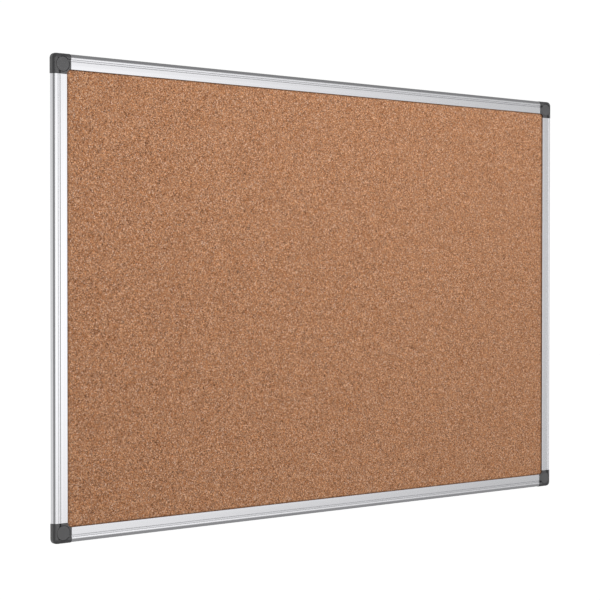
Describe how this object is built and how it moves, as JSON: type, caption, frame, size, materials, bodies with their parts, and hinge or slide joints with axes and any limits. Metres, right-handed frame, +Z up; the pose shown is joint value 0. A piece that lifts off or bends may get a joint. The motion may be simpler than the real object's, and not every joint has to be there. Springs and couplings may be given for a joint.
{
  "type": "cork bulletin board",
  "caption": "Wall-hung cork board with a slim anodised aluminium frame and grey moulded corners, whose round covers pull off to reach the wall screws.",
  "frame": {"origin": "middle of the board's back, on the wall plane", "axes": "+X along the width to the right as a reader sees it, +Y into the wall, +Z up; the cork faces -Y"},
  "size_m": [0.9, 0.0094, 0.6],
  "materials": {
    "anodised_aluminium": "satin natural anodised, drawn lines along each rail",
    "grey_moulding": "dark grey moulded plastic, fine spark texture",
    "cork": "sanded agglomerated natural cork, light and dark granules",
    "fibreboard": "plain softwood fibreboard",
    "backing_paper": "matt balancing paper",
    "zinc_plated_steel": "bright zinc plate"
  },
  "bodies": {
    "board": {"top_rail": "anodised_aluminium", "bottom_rail": "anodised_aluminium", "left_stile": "anodised_aluminium", "right_stile": "anodised_aluminium", "cork_sheet": "cork", "core_board": "fibreboard", "backing_sheet": "backing_paper", "corner_bottom_left": "grey_moulding", "frame_screw_bottom_left_1": "zinc_plated_steel", "frame_screw_bottom_left_2": "zinc_plated_steel", "corner_top_left": "grey_moulding", "frame_screw_top_left_1": "zinc_plated_steel", "frame_screw_top_left_2": "zinc_plated_steel", "corner_top_right": "grey_moulding", "frame_screw_top_right_1": "zinc_plated_steel", "frame_screw_top_right_2": "zinc_plated_steel", "corner_bottom_right": "grey_moulding", "frame_screw_bottom_right_1": "zinc_plated_steel", "frame_screw_bottom_right_2": "zinc_plated_steel"},
    "cover_bottom_left": {"screw_cover_bottom_left": "grey_moulding"},
    "cover_top_left": {"screw_cover_top_left": "grey_moulding"},
    "cover_top_right": {"screw_cover_top_right": "grey_moulding"},
    "cover_bottom_right": {"screw_cover_bottom_right": "grey_moulding"}
  },
  "joints": [
    {"name": "pull_off_bottom_left", "type": "slide", "parent": "board", "child": "cover_bottom_left", "axis": [0, -1, 0], "range_m": [0, 0.03]},
    {"name": "pull_off_top_left", "type": "slide", "parent": "board", "child": "cover_top_left", "axis": [0, -1, 0], "range_m": [0, 0.03]},
    {"name": "pull_off_top_right", "type": "slide", "parent": "board", "child": "cover_top_right", "axis": [0, -1, 0], "range_m": [0, 0.03]},
    {"name": "pull_off_bottom_right", "type": "slide", "parent": "board", "child": "cover_bottom_right", "axis": [0, -1, 0], "range_m": [0, 0.03]}
  ]
}
